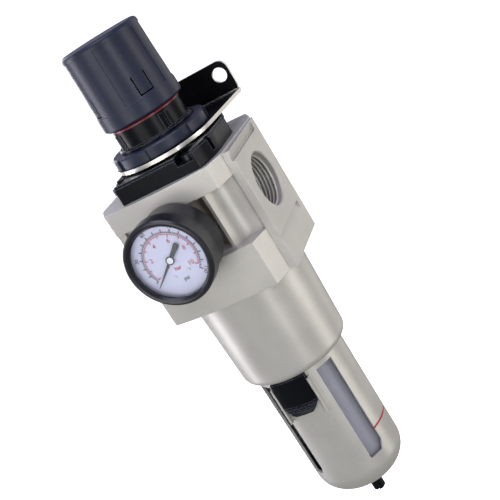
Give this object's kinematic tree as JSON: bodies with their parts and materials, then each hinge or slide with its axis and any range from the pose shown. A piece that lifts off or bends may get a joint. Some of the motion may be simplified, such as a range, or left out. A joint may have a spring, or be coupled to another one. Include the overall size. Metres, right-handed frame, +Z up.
{
  "type": "air filter regulator",
  "caption": "Modular compressed-air filter regulator with locking knob, dial gauge, wall bracket, metal bowl guard and manual drain.",
  "frame": {"origin": "on the main axis, at the lower end of the drain nipple", "axes": "+Z up along the main axis, +X out of the outlet port, -Y towards the gauge, +Y towards the wall bracket"},
  "size_m": [0.09, 0.1207, 0.342],
  "materials": {
    "cast_paint": "satin",
    "black_plastic": "satin",
    "black_steel": "satin",
    "red_plastic": "gloss",
    "zinc_steel": "zinc plated",
    "spring_steel": "drawn wire",
    "brass": "turned",
    "rubber": "matte",
    "dial_white": "matte print",
    "pointer_black": "matte",
    "gauge_glass": "clear",
    "smoke_bowl": "clear polycarbonate",
    "filter_media": "porous sinter",
    "white_plastic": "moulded",
    "aluminium": "turned"
  },
  "bodies": {
    "regulator": {"body": "cast_paint", "bonnet": "black_plastic", "bonnet_screws": "black_steel", "panel_nut": "black_plastic", "bracket": "black_steel", "indicator_ring": "red_plastic", "thrust_washer": "brass", "regulating_spring": "spring_steel", "diaphragm": "rubber", "valve_guide": "white_plastic", "valve_guide_o_ring": "rubber", "valve_spring": "spring_steel", "gauge_socket": "brass", "gauge_case": "black_steel", "gauge_bezel": "black_steel", "gauge_lens": "gauge_glass", "gauge_dial": "dial_white", "dial_screws": "brass", "movement_frame": "brass", "bourdon_tube": "brass", "rear_plug": "zinc_steel", "deflector": "white_plastic", "element_stud": "white_plastic", "filter_element": "filter_media", "baffle": "white_plastic"},
    "adjuster": {"adjusting_screw": "zinc_steel"},
    "knob": {"knob": "black_plastic"},
    "spring_seat": {"spring_seat": "zinc_steel"},
    "diaphragm_unit": {"spring_plate": "aluminium", "relief_seat": "brass"},
    "valve": {"valve_stem": "brass", "valve_disc": "rubber"},
    "sector": {"sector_gear": "brass"},
    "pointer": {"gauge_pointer": "pointer_black", "pointer_cap": "brass", "pointer_arbor": "brass"},
    "bowl_unit": {"bowl": "smoke_bowl", "bowl_guard": "cast_paint", "bowl_o_ring": "rubber", "button_spring": "spring_steel", "drain_seat": "brass"},
    "lock_button": {"lock_button": "black_plastic"},
    "drain": {"drain_cock": "black_plastic"}
  },
  "joints": [
    {"name": "screw_turn", "type": "hinge", "parent": "regulator", "child": "adjuster", "pos_m": [0, 0, 0.3054], "axis": [0, 0, -1], "range_deg": [0, 2880]},
    {"name": "knob_lock", "type": "slide", "parent": "adjuster", "child": "knob", "axis": [0, 0, 1], "range_m": [-0.003, 0]},
    {"name": "seat_travel", "type": "slide", "parent": "regulator", "child": "spring_seat", "axis": [0, 0, 1], "range_m": [-0.0125, 0.0002], "deforming": ["regulating_spring"]},
    {"name": "diaphragm_travel", "type": "slide", "parent": "regulator", "child": "diaphragm_unit", "axis": [0, 0, 1], "range_m": [-0.0025, 0], "stiffness_N_per_m": 1500, "springref_m": 0.002, "deforming": ["diaphragm"]},
    {"name": "valve_lift", "type": "slide", "parent": "regulator", "child": "valve", "axis": [0, 0, 1], "range_m": [-0.0026, 0.0001], "deforming": ["valve_spring"]},
    {"name": "sector_turn", "type": "hinge", "parent": "regulator", "child": "sector", "pos_m": [0, -0.058, 0.2122], "axis": [0, -1, 0], "range_deg": [0, 27], "stiffness_Nm_per_rad": 0.002, "springref_deg": -11.46},
    {"name": "pointer_turn", "type": "hinge", "parent": "regulator", "child": "pointer", "pos_m": [0, -0.058, 0.2254], "axis": [0, 1, 0], "range_deg": [-5, 275]},
    {"name": "bowl_turn", "type": "hinge", "parent": "regulator", "child": "bowl_unit", "pos_m": [0, 0, 0.1254], "axis": [0, 0, 1], "range_deg": [0, 45]},
    {"name": "button_press", "type": "slide", "parent": "bowl_unit", "child": "lock_button", "axis": [0, 0, 1], "range_m": [-0.004, 0], "stiffness_N_per_m": 400, "springref_m": 0.003, "deforming": ["button_spring"]},
    {"name": "drain_turn", "type": "hinge", "parent": "bowl_unit", "child": "drain", "pos_m": [0, 0, 0.01], "axis": [0, 0, -1], "range_deg": [0, 90]}
  ],
  "couplings": [
    {"joint": "seat_travel", "follows": "screw_turn", "m_per_rad": -0.00023873},
    {"joint": "valve_lift", "follows": "diaphragm_travel", "ratio": 1},
    {"joint": "pointer_turn", "follows": "sector_turn", "ratio": 10}
  ]
}
